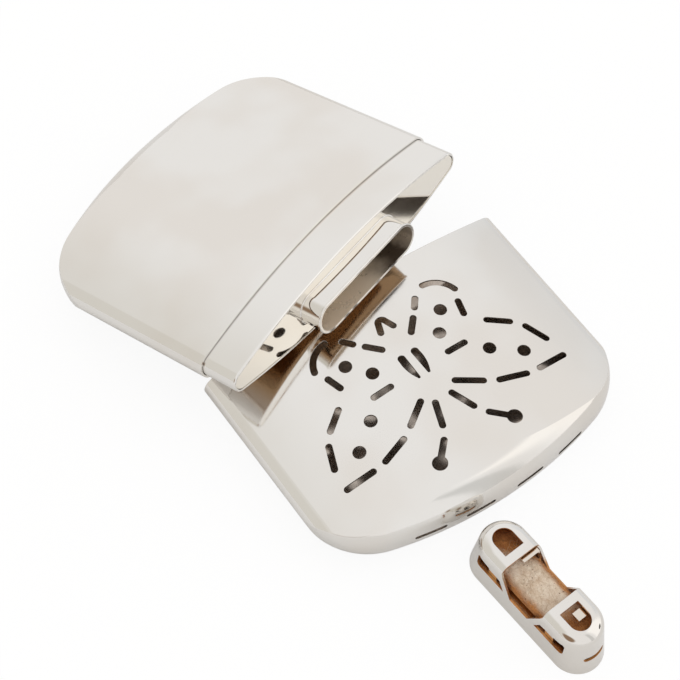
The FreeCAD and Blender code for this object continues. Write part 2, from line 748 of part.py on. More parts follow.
def make_pad():
    """The catalyst's fibre pad: a plain crowned block between the grid and the claws."""
    pad_body = new_body("catalyst_pad")
    claw_face = (
        "(dims.hood_width / 2 - dims.hood_wall - dims.seat_gap - dims.cage_wall - dims.soft_gap"
        " - dims.side_lean * dims.claw_level / dims.hood_height)"
    )
    length = (
        "(dims.hood_length - 2 * (dims.hood_wall + dims.soft_gap"
        " + dims.end_lean * dims.pad_top / dims.hood_height))"
    )
    block = stadium_sketch(pad_body, "pad_block", "XY_Plane", "dims.cage_height + dims.seat_gap",
                           length, f"2 * {claw_face}")
    pad(pad_body, block, "dims.pad_top - dims.cage_height - dims.seat_gap")
    fillet(pad_body, "pad_crown", at_level(mm("dims.pad_top")), "dims.pad_round")
    return pad_body


# ---------------------------------------------------------------- the layout on the table

def lean_angle(rise=0.0):
    """Pitch of the tank, in degrees, that rests its collar on the cap's mouth.

    The closed end's rounding rolls on the table; the collar's underside crosses the mouth's
    edge one overhang in from the collar's rim, higher by rise than where it would touch.
    """
    end_round = mm(END_ROUND)
    span = mm("dims.tank_length + dims.collar_length - dims.collar_overhang") - end_round
    fall = end_round - mm(COLLAR_INSET)
    climb = mm("2 * dims.half_depth + dims.lean_gap") + rise - end_round
    return math.degrees(math.asin(climb / math.hypot(span, fall)) + math.atan2(fall, span))


def crossing_rise():
    """Height that the yaw adds, because the two crowns come nearest beside the middle.

    Along the mouth's edge the collar falls at tan(pitch) sin(yaw), and both crowns bend away.
    """
    pitch, yaw = math.radians(lean_angle()), math.radians(mm("dims.tank_yaw"))
    bend = (1 / mm(CROWN_RADIUS)
            + math.cos(yaw) ** 2 / mm(f"{CROWN_RADIUS} - {COLLAR_INSET}")) / 2
    return (math.tan(pitch) * math.sin(yaw)) ** 2 / (4 * bend)


def tank_placement():
    """Where the tank's parting plane lies: turned end for end, yawed and leant."""
    pitch = math.radians(lean_angle(crossing_rise()))
    yaw = math.radians(mm("dims.tank_yaw"))
    end_round = mm(END_ROUND)
    height = (end_round + (mm("dims.tank_length") - end_round) * math.sin(pitch)
              + (mm("dims.half_depth") - end_round) * math.cos(pitch))
    rim_out = mm("dims.collar_length - dims.collar_overhang") * math.cos(pitch)
    under = (mm("dims.half_depth") - mm(COLLAR_INSET)) * math.sin(pitch)
    back = rim_out + under
    turn = Rotation(Vector(0, 0, 1), mm("dims.tank_yaw") + 180)
    lean = Rotation(Vector(1, 0, 0), math.degrees(pitch))
    spot = Vector(mm("dims.tank_shift") - back * math.sin(yaw), back * math.cos(yaw), height)
    return Placement(spot, turn * lean)


def burner_placement():
    """Where the burner stands, beyond the cap's closed end."""
    y = -mm("dims.cap_length + dims.burner_gap + dims.hood_length / 2")
    turn = Rotation(Vector(0, 0, 1), mm("dims.burner_yaw"))
    return Placement(Vector(mm("dims.burner_shift"), y, 0), turn)


def lay_out(groups):
    """Place each group, then centre the whole over the origin."""
    for pieces, place in groups:
        for piece in pieces:
            piece.Placement = place
    doc.recompute()
    box = FreeCAD.BoundBox()
    for pieces, _ in groups:
        for piece in pieces:
            box.add(piece.Shape.optimalBoundingBox(False, False))
    shift = Vector(-box.Center.x, -box.Center.y, 0)
    for pieces, place in groups:
        for piece in pieces:
            piece.Placement = Placement(shift, Rotation()) * place
    doc.recompute()


cap_shell = make_cap()
tank_shell = case_shell("tank_shell", "dims.tank_length")
tank_pieces = [tank_shell, make_collar(), make_plate(), make_neck(), make_wadding(), make_wick()]
burner_pieces = [make_hood(), make_cage(), make_grid(), make_pad()]
lay_out((
    ([cap_shell], Placement(Vector(0, 0, mm("dims.half_depth")), Rotation())),
    (tank_pieces, tank_placement()),
    (burner_pieces, burner_placement()),
))

for thing in doc.Objects:
    if {"Invalid", "Error"} & set(thing.State):
        raise RuntimeError(f"{thing.Name} failed: {thing.State}")

os.makedirs("parts", exist_ok=True)
for piece in [cap_shell] + tank_pieces + burner_pieces:
    if piece.Shape.isNull() or not piece.Shape.isValid():
        raise RuntimeError(f"{piece.Label} has no valid shape")
    piece.Shape.exportStep(f"parts/{piece.Label}.step")
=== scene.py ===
"""Looks of the opened catalytic pocket warmer: cap, leaning tank and burner on a pale table."""

import math

import bpy
import numpy as np
from mathutils import Euler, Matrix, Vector


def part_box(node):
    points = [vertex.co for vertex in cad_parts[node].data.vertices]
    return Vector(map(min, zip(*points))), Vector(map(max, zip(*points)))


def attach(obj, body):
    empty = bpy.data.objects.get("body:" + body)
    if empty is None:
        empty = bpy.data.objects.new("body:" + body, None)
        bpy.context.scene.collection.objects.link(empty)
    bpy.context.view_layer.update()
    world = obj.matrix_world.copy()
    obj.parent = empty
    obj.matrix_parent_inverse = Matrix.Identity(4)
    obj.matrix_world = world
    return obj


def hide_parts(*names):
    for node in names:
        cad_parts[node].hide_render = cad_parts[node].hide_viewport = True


MM = 0.001

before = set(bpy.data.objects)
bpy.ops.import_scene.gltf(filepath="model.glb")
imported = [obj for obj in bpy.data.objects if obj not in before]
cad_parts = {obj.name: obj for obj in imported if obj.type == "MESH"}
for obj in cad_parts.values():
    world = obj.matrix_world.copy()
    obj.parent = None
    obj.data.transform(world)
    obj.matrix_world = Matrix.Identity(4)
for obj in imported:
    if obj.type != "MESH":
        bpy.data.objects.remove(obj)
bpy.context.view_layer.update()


# ---------------------------------------------------------------- shader maths

class Wire:
    """A shader socket that can be used in expressions."""

    def __init__(self, tree, socket):
        self.tree = tree
        self.socket = socket

    def _maths(self, operation, first, second=0.0):
        return self.tree.node("ShaderNodeMath", {"operation": operation}, {0: first, 1: second})

    def __add__(self, other):
        return self._maths("ADD", self, other)

    def __radd__(self, other):
        return self._maths("ADD", other, self)

    def __sub__(self, other):
        return self._maths("SUBTRACT", self, other)

    def __rsub__(self, other):
        return self._maths("SUBTRACT", other, self)

    def __mul__(self, other):
        return self._maths("MULTIPLY", self, other)

    def __rmul__(self, other):
        return self._maths("MULTIPLY", other, self)

    def most(self, other):
        return self._maths("MAXIMUM", self, other)

    def size(self):
        return self._maths("ABSOLUTE", self)

    def band(self, low, high, to_low=0.0, to_high=1.0):
        """Smooth step from one value to another while this goes from low to high."""
        return self.tree.node("ShaderNodeMapRange", {"interpolation_type": "SMOOTHSTEP"},
                              {"Value": self, "From Min": low, "From Max": high,
                               "To Min": to_low, "To Max": to_high})


class Tree:
    """A node tree under construction."""

    def __init__(self, tree, output):
        self.nodes, self.links = tree.nodes, tree.links
        self.nodes.clear()
        self.output = self.nodes.new(output)

    def connect(self, value, socket):
        if isinstance(value, Wire):
            self.links.new(value.socket, socket)
        else:
            socket.default_value = value

    def node(self, kind, settings=None, inputs=None, output=0):
        """Any node: its type, its settings, then the values or links of its sockets."""
        made = self.nodes.new(kind)
        for key, value in (settings or {}).items():
            if key == "stops":
                ramp = made.color_ramp
                while len(ramp.elements) < len(value):
                    ramp.elements.new(1.0)
                for element, (place, colour) in zip(ramp.elements, value):
                    element.position = place
                    element.color = (*colour, 1.0)
            else:
                setattr(made, key, value)
        for key, value in (inputs or {}).items():
            self.connect(value, made.inputs[key])
        return Wire(self, made.outputs[output])

    def vector(self, operation, first, second=None, output=0):
        inputs = {0: first} if second is None else {0: first, 1: second}
        return self.node("ShaderNodeVectorMath", {"operation": operation}, inputs, output)

    def dot(self, first, second):
        return self.vector("DOT_PRODUCT", first, second, "Value")

    def stretched(self, vector, scale):
        return self.vector("MULTIPLY", vector, scale)

    def axes(self, vector):
        """The three numbers of a vector."""
        split = self.node("ShaderNodeSeparateXYZ", inputs={0: vector}).socket.node
        return [Wire(self, socket) for socket in split.outputs]

    def blend(self, share, first, second):
        """A colour between two colours."""
        first, second = (colour if isinstance(colour, Wire) else (*colour, 1.0)
                         for colour in (first, second))
        return self.node("ShaderNodeMix", {"data_type": "RGBA"},
                         {0: share, 6: first, 7: second}, output=2)

    def seen_by(self, kind):
        """1 for rays of one kind, such as Camera or Glossy, and 0 for all others."""
        return self.node("ShaderNodeLightPath", output=f"Is {kind} Ray")

    def mix(self, share, first, second):
        """A shader between two shaders."""
        return self.node("ShaderNodeMixShader", inputs={0: share, 1: first, 2: second})

    def close(self, shader):
        self.connect(shader, self.output.inputs["Surface"])


class Finish(Tree):
    """A material under construction, painted by place and direction on the object."""

    def __init__(self, name):
        self.material = bpy.data.materials.new(name)
        self.material.use_nodes = True
        super().__init__(self.material.node_tree, "ShaderNodeOutputMaterial")

    def place(self):
        """Object coordinates, in metres."""
        return self.node("ShaderNodeTexCoord", output="Object")

    def facing(self):
        """The surface normal in object space."""
        return self.node("ShaderNodeTexCoord", output="Normal")

    def into(self, seat, vector, direction=False):
        """A place, or a direction, told in the axes of a seat."""
        centre = (0.0, 0.0, 0.0) if direction else tuple(seat.origin)
        turned = self.node("ShaderNodeVectorRotate",
                           {"rotation_type": "EULER_XYZ", "invert": True},
                           {"Vector": vector, "Center": centre, "Rotation": seat.turn})
        return self.vector("SUBTRACT", turned, centre)

    def inwards(self, seat, core, fade=0.0012):
        """1 on walls that face a core box, told in millimetres, and 0 on walls that face away.

        It falls while the way from the box to the wall, measured along the wall's normal, grows
        from nothing to the fade, in metres.
        """
        low, high = (tuple(v * MM for v in corner) for corner in core)
        place = self.into(seat, self.place())
        nearest = self.vector("MINIMUM", self.vector("MAXIMUM", place, low), high)
        way = self.vector("SUBTRACT", place, nearest)
        return self.dot(self.into(seat, self.facing(), True), way).band(0.0, fade, 1.0, 0.0)

    def noise(self, vector, per_metre, detail=3.0, roughness=0.5, distortion=0.0):
        return self.node("ShaderNodeTexNoise", {"noise_dimensions": "3D"},
                         {"Vector": vector, "Scale": per_metre, "Detail": detail,
                          "Roughness": roughness, "Distortion": distortion})

    def bump(self, height, distance, strength=1.0, normal=None):
        inputs = {"Height": height, "Distance": distance, "Strength": strength}
        if normal is not None:
            inputs["Normal"] = normal
        return self.node("ShaderNodeBump", inputs=inputs)

    def surface(self, **sockets):
        """A Principled shader with the named sockets, joined to the output."""
        inputs = {key.replace("_", " "): value for key, value in sockets.items()}
        self.close(self.node("ShaderNodeBsdfPrincipled", inputs=inputs))
        return self.material


# ---------------------------------------------------------------- where the groups lie

class Seat:
    """Origin in metres and turn of a group's own axes: first about its X, then about Z."""

    def __init__(self, origin, pitch, yaw):
        self.origin = Vector(origin)
        self.turn = (math.radians(pitch), 0.0, math.radians(yaw))
        self.matrix = np.array(Euler(self.turn).to_matrix())

    def out(self, points):
        """Points told in the seat's axes, in millimetres, as places in the frame, in metres."""
        return np.asarray(points) * MM @ self.matrix.T + np.array(self.origin)


def middle(node):
    """The middle of a node's box."""
    low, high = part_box(node)
    return (Vector(low) + Vector(high)) / 2


TANK_PITCH, TANK_YAW, BURNER_YAW = 14.76, 196.7, -86.0  # degrees
WICK_LEVEL = 6.225  # millimetres from the tank's mouth to the middle of the wick's solid
cap_middle, hood_middle = middle("cap_shell"), middle("burner_hood")
cap_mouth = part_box("cap_shell")[1].y
CAP = Seat((cap_middle.x, cap_mouth, cap_middle.z), 0.0, 0.0)
TANK = Seat(middle("neck_wick"), TANK_PITCH, TANK_YAW)
TANK.origin = Vector(TANK.out((0.0, -WICK_LEVEL, 0.0)))
BURNER = Seat((hood_middle.x, hood_middle.y, 0.0), 0.0, BURNER_YAW)


# ---------------------------------------------------------------- finishes

NICKEL = (0.81, 0.79, 0.76)
WARM_NICKEL = (0.88, 0.84, 0.77)
TARNISH = (0.57, 0.50, 0.44)
SHEET = (0.84, 0.81, 0.76)
GRID_SHEET = (0.62, 0.47, 0.32)
# Brown painted shade on the undersides of the tank's group, standing for the dark gap under the
# leaning tank.
UNDERSIDE_SHADE_BROWN = (0.36, 0.235, 0.135)
HEAT_ORANGE = (0.70, 0.34, 0.12)
# Painted shadow deep in the neck towards one end.
PAINTED_HOLE_SHADE = (0.09, 0.065, 0.045)
WORN_METAL = (0.82, 0.71, 0.58)
# Two tones each of the pad's middle and rim, and its specks; the rim's tones are rusted fibre and
# painted shade under the hood's edge and claws.
CREAM = ((0.66, 0.49, 0.34), (0.92, 0.80, 0.66))
RUST_AND_SHADE = ((0.24, 0.08, 0.022), (0.62, 0.27, 0.08))
SPECK = (0.20, 0.10, 0.05)
# Dark, middle and light tones of the felted pieces.
THREAD_TONES = ((0.40, 0.20, 0.08), (0.66, 0.50, 0.33), (0.86, 0.78, 0.64))
WICK_TONES = ((0.30, 0.24, 0.17), (0.52, 0.45, 0.34), (0.72, 0.66, 0.55))
COTTON_TONES = ((0.62, 0.58, 0.50), (0.78, 0.75, 0.68), (0.88, 0.86, 0.81))

# How many of each mark lie on a metre of plate, and on a metre of the pad; the neck's patches are
# of painted shadow.
CLOUDS, WIPING_MARKS, HAIRLINES, LINING_PATCHES, HOLE_SHADE_PATCHES = 48.0, 110.0, 420.0, 190.0, 260.0
TUFTS, THREADS, SPECKS = 420.0, 2600.0, 1700.0

# Depths of the press waves and of the hairlines, and radii of the rims, in metres.
DEEP_WAVES, FAINT_WAVES, HAIRLINE_DEPTH = 0.00002, 0.00001, 0.0000015
SOFT_RIM, NECK_RIM, SHARP_RIM, SEAM_RIM = 0.00012, 0.00008, 0.00005, 0.00003

# Depths of the tufts and of the threads in felt and in the pad, in metres.
FELT_TUFT, FELT_THREAD, PAD_TUFT, PAD_THREAD = 0.0004, 0.00025, 0.00012, 0.00008

# Boxes in the cores of the shells, in millimetres in their own axes.
CAP_CORE = ((-26.0, -42.0, 0.0), (26.0, -8.0, 0.0))
HOOD_CORE = ((-10.5, 0.0, 1.0), (10.5, 0.0, 6.0))
NECK_CORE = ((-11.0, 0.0, 0.0), (11.0, 12.0, 0.0))


def polished(fin, colour, cloud, waviness, rim, blur=0.0):
    """Colour, roughness and normal of mirror plate: faint clouds, press waves, hairlines."""
    place = fin.place()
    slow = fin.noise(place, CLOUDS, 2.0)
    wiped = fin.noise(fin.stretched(place, (1.0, 2.6, 2.6)), WIPING_MARKS, 4.0, 0.55, 0.8)
    fine = fin.noise(fin.stretched(place, (1.0, 14.0, 14.0)), HAIRLINES, 4.0, 0.6)
    dull = tuple(c * (1 - cloud * (1 + 0.5 * i)) for i, c in enumerate(colour))
    tint = fin.blend(slow.band(0.38, 0.66), colour, dull)
    gloss = fine.band(0.3, 0.75, 0.03 + blur, 0.055 + blur) + wiped.band(0.45, 0.75, 0.0, 0.035)
    rounded = fin.node("ShaderNodeBevel", {"samples": 4}, {"Radius": rim})
    waves = fin.bump(slow, waviness, normal=rounded)
    return tint, gloss, fin.bump(fine, HAIRLINE_DEPTH, 0.25, waves)


def plated(name, colour=NICKEL, cloud=0.03, waviness=FAINT_WAVES, rim=SOFT_RIM):
    """Mirror plate all over."""
    fin = Finish(name)
    tint, gloss, normal = polished(fin, colour, cloud, waviness, rim)
    return fin.surface(Base_Color=tint, Metallic=1.0, Roughness=gloss, Normal=normal)


def underside_shade_share(fin, reach, fade=0.004):
    """Share of painted brown shade on walls of the tank's group that face down, out to a reach:
    the shade under the leaning tank.
    """
    down = fin.axes(fin.into(TANK, fin.facing(), True))[2].band(-0.75, -0.35, 1.0, 0.0)
    across = fin.axes(fin.into(TANK, fin.place()))[0].size()
    return down * across.band(reach - fade, reach + fade, 1.0, 0.0)


def band_with_underside_shade(name, reach):
    """Mirror plate with painted brown shade on its underside, where the leaning tank is shaded."""
    fin = Finish(name)
    tint, gloss, normal = polished(fin, NICKEL, 0.03, FAINT_WAVES, SOFT_RIM)
    # The underside carries painted brown shade.
    return fin.surface(Base_Color=fin.blend(underside_shade_share(fin, reach), tint, UNDERSIDE_SHADE_BROWN),
                       Metallic=1.0, Roughness=gloss, Normal=normal)


def plated_shell(name, seat, core, stain, waviness=FAINT_WAVES, cloud=0.03, matt=(0.22, 0.38),
                 metal=0.7, blur=0.0, shade=0.65):
    """Mirror plate outside and stained, duller metal on the walls that face the shell's core.

    Inside, the stain darkens in patches to its shade, patches add from the first to the second
    number of matt to the roughness, and the metallic share is metal.
    """
    fin = Finish(name)
    tint, gloss, normal = polished(fin, NICKEL, cloud, waviness, SOFT_RIM, blur)
    inside = fin.inwards(seat, core)
    patch = fin.noise(fin.place(), LINING_PATCHES, 4.0, 0.6)
    stained = fin.blend(patch.band(0.35, 0.7), stain, tuple(c * shade for c in stain))
    return fin.surface(Base_Color=fin.blend(inside, tint, stained),
                       Metallic=1.0 - inside * (1.0 - metal),
                       Roughness=gloss + inside * patch.band(0.3, 0.7, *matt), Normal=normal)


def neck_with_painted_shade(name):
    """Mirror plate with painted brown shade below; inside, metal with wear and a painted shadow
    towards one end.

    Along the neck, in metres and shifted by patches, the painted shadow is full from -0.0075 to
    -0.006.
    It is gone at 0.003, and down to a half at -0.010.
    """
    fin = Finish(name)
    tint, gloss, normal = polished(fin, NICKEL, 0.03, FAINT_WAVES, NECK_RIM)
    inside = fin.inwards(TANK, NECK_CORE)
    patch = fin.noise(fin.place(), HOLE_SHADE_PATCHES, 4.0, 0.6)
    # Painted shadow deep in the neck towards one end, in patches, over metal with wear.
    along = fin.axes(fin.into(TANK, fin.place()))[0] + patch * 0.006
    unshaded_share = along.band(-0.006, 0.003).most(along.band(-0.010, -0.0075, 0.5, 0.0))
    wear_and_shade = fin.blend(unshaded_share, PAINTED_HOLE_SHADE, WORN_METAL)
    # Painted brown shade on the neck's underside.
    outside = fin.blend(underside_shade_share(fin, reach=0.020), tint, UNDERSIDE_SHADE_BROWN)
    return fin.surface(Base_Color=fin.blend(inside, outside, wear_and_shade), Metallic=1.0 - inside * 0.6,
                       Roughness=gloss + inside * patch.band(0.3, 0.7, 0.2, 0.4), Normal=normal)


def felted_fibre(name, tones, per_metre):
    """Matted short fibres: tufts of three tones and a rough, threaded relief."""
    fin = Finish(name)
    place = fin.place()
    tuft = fin.noise(place, per_metre, 5.0, 0.7)
    thread = fin.noise(fin.stretched(place, (1.0, 3.5, 2.0)), per_metre * 2.4, 3.0, 0.6, 1.5)
    colour = fin.node("ShaderNodeValToRGB", {"stops": tuple(zip((0.28, 0.5, 0.72), tones))},
                      {"Fac": tuft * 0.6 + thread * 0.4})
    return fin.surface(Base_Color=colour, Roughness=0.95,
                       Normal=fin.bump(thread, FELT_THREAD, normal=fin.bump(tuft, FELT_TUFT)))


def scorched_and_shaded_fibre(name):
    """The catalyst's matted fibre: cream in the middle, rusted towards its rim, dark specks.

    The rusty tone is rusted fibre and painted shade under the hood's saddle edge and claws. It
    starts where the place across (v), or along to one end (u), or towards one corner, has grown
    past a line that the tufts move, and it covers the sides of the pad.
    """
    fin = Finish(name)
    place = fin.place()
    u, v, level = fin.axes(fin.into(BURNER, place))
    tuft = fin.noise(place, TUFTS, 5.0, 0.65)
    thread = fin.noise(fin.stretched(place, (3.0, 1.0, 2.0)), THREADS, 3.0, 0.6, 1.5)
    speck = fin.noise(place, SPECKS, 2.0)
    across = (v.size() * 260.0).most(v * 310.0)
    near_rim = across.most(u * 115.0 - 0.02).most(v * 150.0 - u * 110.0) + tuft * 0.6
    # Rust and painted shade: the rim, heavier on one side, one end and one corner where the hood's
    # saddle edge and claws shade the pad, and the pad's sides.
    rust_and_shade_share = near_rim.band(0.90, 1.30).most(level.band(0.0084, 0.0068))
    pale = fin.blend((tuft * 0.5 + thread * 0.5).band(0.36, 0.62), *CREAM)
    rust_and_shade_tone = fin.blend((tuft * 0.4 + thread * 0.6).band(0.35, 0.65), *RUST_AND_SHADE)
    colour = fin.blend(speck.band(0.66, 0.72), fin.blend(rust_and_shade_share, pale, rust_and_shade_tone), SPECK)
    return fin.surface(Base_Color=colour, Roughness=0.95,
                       Normal=fin.bump(thread, PAD_THREAD, normal=fin.bump(tuft, PAD_TUFT)))


def paint(node, material):
    """Gives a CAD node's object one material."""
    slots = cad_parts[node].data.materials
    slots.clear()
    slots.append(material)


paint("cap_shell", plated_shell("case_nickel", CAP, CAP_CORE, TARNISH, DEEP_WAVES, cloud=0.045,
                                matt=(0.0, 0.08), metal=0.85, blur=0.045))
paint("tank_shell", plated("tank_nickel", cloud=0.045, waviness=DEEP_WAVES))
# The collar's underside carries painted brown shade.
paint("collar_band", band_with_underside_shade("collar_nickel", reach=0.029))
paint("neck_plate", plated("plate_nickel", WARM_NICKEL))
# The neck carries painted shade below and a painted shadow inside.
paint("filler_neck", neck_with_painted_shade("neck_nickel"))
paint("burner_hood", plated_shell("burner_nickel", BURNER, HOOD_CORE, HEAT_ORANGE))
paint("burner_cage", plated("cage_sheet", SHEET, cloud=0.1, rim=SHARP_RIM))
paint("pad_grid", plated("grid_sheet", GRID_SHEET, cloud=0.3, rim=SHARP_RIM))


# ---------------------------------------------------------------- soft pieces

# Sizes in millimetres, in the axes of the burner or of the tank.
PAD_REACH, PAD_RADIUS, PAD_LOW, PAD_HIGH, PAD_POWER = 9.9, 3.74, 4.8, 8.9, 4.5
NECK_REACH, NECK_RADIUS, WICK_RADIUS = 10.79, 3.32, 2.75
PLATE_TOP, WICK_FOOT, WICK_TOP = 7.9, 5.2, 7.3
WADDING_HALVES, WADDING_MIDDLE = (31.0, 24.5, 5.0), -21.5


def stadium(count, reach, radius):
    """Points at even steps round a stadium, against the clock from the foot of its right end.

    Each half of the way is a half circle, whose centre lies a reach from the middle, and then a
    straight of twice the reach; the second half is the first one turned by half a turn.
    """
    arc, straight = np.pi * radius, 2 * reach
    way = (np.arange(count) + 0.5) * 2 * (arc + straight) / count
    half, way = np.divmod(way, arc + straight)
    angle = np.minimum(way, arc) / radius - np.pi / 2
    x = reach + radius * np.cos(angle) - np.maximum(way - arc, 0)
    return (1 - 2 * half[:, None]) * np.c_[x, radius * np.sin(angle)]


def superellipse(count, half_x, half_y, power):
    """Points round a superellipse: cosine and sine raised to 2 / power, with their signs."""
    angle = (np.arange(count) + 0.5) * 2 * np.pi / count
    waves = np.c_[np.cos(angle), np.sin(angle)]
    return np.sign(waves) * np.abs(waves) ** (2 / power) * (half_x, half_y)


def stadium_share(places, reach, radius):
    """Share s by which the stadium shrinks about its middle to pass through each place.

    It is |y| / radius beside the straights, and elsewhere the smaller root of
    (|x| - s reach)^2 + y^2 = (s radius)^2.
    """
    x, y = np.abs(places).T
    flat = y / radius
    spread = reach ** 2 - radius ** 2
    under_root = np.maximum((x * reach) ** 2 - spread * (x ** 2 + y ** 2), 0)
    return np.where(x <= flat * reach, flat, (x * reach - np.sqrt(under_root)) / spread)


def tufts(points, pitch, seed, waves=50):
    """Relief of matted fibre: five times the mean of sine waves that cross the points.

    Each wave has a random direction and phase, and 0.45 to 1.6 times the pitch.
    """
    draw = np.random.default_rng(seed)
    ways = draw.normal(size=(waves, 3))
    ways /= np.linalg.norm(ways, axis=1)[:, None] * pitch * draw.uniform(0.45, 1.6, waves)[:, None]
    phase = draw.uniform(0, 2 * np.pi, waves)
    return np.sin(2 * np.pi * points @ ways.T + phase).mean(axis=1) * 5


def lattice(rows, around, closed=False):
    """Quads between rows of points, each row a closed ring; closed joins the last row too."""
    step = np.arange(around)
    after = (step + 1) % around
    here = np.arange(rows if closed else rows - 1)[:, None] * around
    above = (here + around) % (rows * around)
    return np.stack([here + step, here + after, above + after, above + step], -1).reshape(-1, 4)


def block_rise(share, power):
    """Rise of a rounded block over its middle, from 1 in the centre to 0 at its rim."""
    return np.maximum(1 - share ** power, 0) ** (1 / power)


def block(plan, low, high, power, rings):
    """Closed block over a plan, as points in millimetres and faces.

    Rings shrink the plan by s = 1 - w^1.7, with w from 0 at the rim to 1 in the middle, and
    lie half the height times (1 - s^power)^(1 / power) above and below the middle level.
    """
    share = 1 - np.linspace(0, 1, rings + 1)[:-1] ** 1.7
    share = np.concatenate([share[:0:-1], share])
    side = np.r_[-np.ones(rings - 1), np.ones(rings)]
    level = (high + low) / 2 + side * (high - low) / 2 * block_rise(share, power)
    around, levels = len(plan), len(share)
    wall = np.c_[(share[:, None, None] * plan).reshape(-1, 2), np.repeat(level, around)]
    points = np.concatenate([wall, [[0, 0, low], [0, 0, high]]])
    step = np.arange(around)
    after = (step + 1) % around
    top = (levels - 1) * around
    foot_fan = np.c_[after, step, np.full(around, levels * around)]
    top_fan = np.c_[top + step, top + after, np.full(around, levels * around + 1)]
    return points, (lattice(levels, around), foot_fan, top_fan)


def new_piece(name, points, faces, material, body):
    """A smooth mesh object that rides on a body, from places in metres and arrays of faces."""
    mesh = bpy.data.meshes.new(name)
    mesh.from_pydata(points.tolist(), [], [face for group in faces for face in group.tolist()])
    mesh.polygons.foreach_set("use_smooth", np.ones(len(mesh.polygons), dtype=bool))
    mesh.materials.append(material)
    piece = bpy.data.objects.new(name, mesh)
    bpy.context.scene.collection.objects.link(piece)
    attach(piece, body)
    return piece


def pad_relief(points):
    """Move of the pad's points: coarse and fine tufts, and a sag of the top to the rim.

    The top sinks by the sag times the square of its distance across, over the half width. The
    foot stays flat.
    """
    sag, foot = 0.9, 0.4
    above = np.clip((points[:, 2] - PAD_LOW) / (PAD_HIGH - PAD_LOW) * 2 - 1, 0, 1)
    height = (0.07 * tufts(points, pitch=1.6, seed=3) + 0.02 * tufts(points, pitch=0.5, seed=4)
              - above * sag * (points[:, 1] / PAD_RADIUS) ** 2)
    return np.c_[np.zeros((len(points), 2)), np.where(points[:, 2] > PAD_LOW + foot, height, 0)]


def pad_level(places):
    """Height of the pad's top at places in its plan."""
    share = np.clip(stadium_share(places, PAD_REACH, PAD_RADIUS), 0, 1)
    half = (PAD_HIGH - PAD_LOW) / 2
    points = np.c_[places, (PAD_HIGH + PAD_LOW) / 2 + half * block_rise(share, PAD_POWER)]
    return points[:, 2] + pad_relief(points)[:, 2]


def fibre_pad():
    """The catalyst pad: a rounded block of matted fibre, fuller in the middle of the saddle."""
    plan = stadium(360, PAD_REACH, PAD_RADIUS)
    points, faces = block(plan, PAD_LOW, PAD_HIGH, PAD_POWER, rings=60)
    points = points + pad_relief(points)
    # The pad's rim carries rust and painted shade.
    piece = new_piece("fibre_pad", BURNER.out(points), faces, scorched_and_shaded_fibre("scorched_and_shaded_fibre"),
                      "burner")
    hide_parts("catalyst_pad")


def loose_fibres(threads=200, knots=9, radius=0.016):
    """Short fibres that lie on the pad: three-sided threads along gently bent arcs.

    Each thread is centred on a random place and turns at a steady rate. Its height is the pad's
    own plus 0.6 of its radius, and its ends lift by the square of the distance from its middle.
    """
    draw = np.random.default_rng(11)
    spread, limit = np.array((9.5, 3.5)), np.array((12.4, 3.3))
    shortest, longest, most_lift, usual_bend = 1.0, 3.2, 0.5, 1.1
    along = np.linspace(-0.5, 0.5, knots)
    start = draw.uniform(-spread, spread, (threads, 2))
    heading, bend = draw.uniform(0, 2 * np.pi, threads), draw.normal(0, usual_bend, threads)
    length = draw.uniform(shortest, longest, threads)
    angle = heading[:, None] + bend[:, None] * along
    steps = np.stack([np.cos(angle), np.sin(angle)], -1) * length[:, None, None] / (knots - 1)
    places = start[:, None] + np.cumsum(steps, axis=1) - steps.sum(axis=1, keepdims=True) / 2
    places = np.clip(places, -limit, limit)
    level = pad_level(places.reshape(-1, 2)).reshape(threads, knots)
    lift = draw.uniform(0.0, most_lift, threads)[:, None] * (along ** 2)
    centre = np.dstack([places, level + radius * 0.6 + lift])
    across = np.stack([-np.sin(angle), np.cos(angle)], -1)
    corner = np.arange(3) * 2 * np.pi / 3
    sideways = across[:, :, None] * np.cos(corner)[:, None]
    upwards = np.broadcast_to(np.sin(corner)[:, None], (threads, knots, 3, 1))
    ring = centre[:, :, None] + radius * np.concatenate([sideways, upwards], axis=-1)
    first = np.arange(threads)[:, None] * knots * 3
    last = first + (knots - 1) * 3
    quads = (first[:, None] + lattice(knots, 3)).reshape(-1, 4)
    faces = (quads, first + np.array([2, 1, 0]), last + np.array([0, 1, 2]))
    new_piece("loose_fibres", BURNER.out(ring.reshape(-1, 3)), faces,
              felted_fibre("loose_fibre", THREAD_TONES, per_metre=300.0),
              "burner")


def felt_wick():
    """The felt plug in the neck: a rounded stadium block across the tank's axis."""
    plan = stadium(200, NECK_REACH, WICK_RADIUS)
    points, faces = block(plan, WICK_FOOT, WICK_TOP, power=7.0, rings=30)
    points[:, 2] += 0.06 * tufts(points, pitch=0.9, seed=5)
    points = np.c_[points[:, 0], points[:, 2], -points[:, 1]]
    piece = new_piece("felt_wick", TANK.out(points), faces,
                      felted_fibre("wick_felt", WICK_TONES, per_metre=900.0), "tank")
    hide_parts("neck_wick")


def cotton_wadding():
    """The cotton in the tank: a block over a superellipse, thinner towards its sides.

    Its thickness falls with the square of the distance across, by 0.55 of it at the sides.
    """
    half_x, half_y, half_z = WADDING_HALVES
    plan = superellipse(240, half_x, half_y, power=4.0)
    points, faces = block(plan, -half_z, half_z, power=4.0, rings=24)
    points[:, 2] *= 1 - 0.55 * (points[:, 0] / half_x) ** 2
    points[:, 2] += 0.12 * tufts(points, pitch=4.0, seed=6)
    points[:, 1] += WADDING_MIDDLE
    piece = new_piece("cotton_wadding", TANK.out(points), faces,
                      felted_fibre("cotton", COTTON_TONES, per_metre=400.0), "tank")
    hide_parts("fuel_wadding")


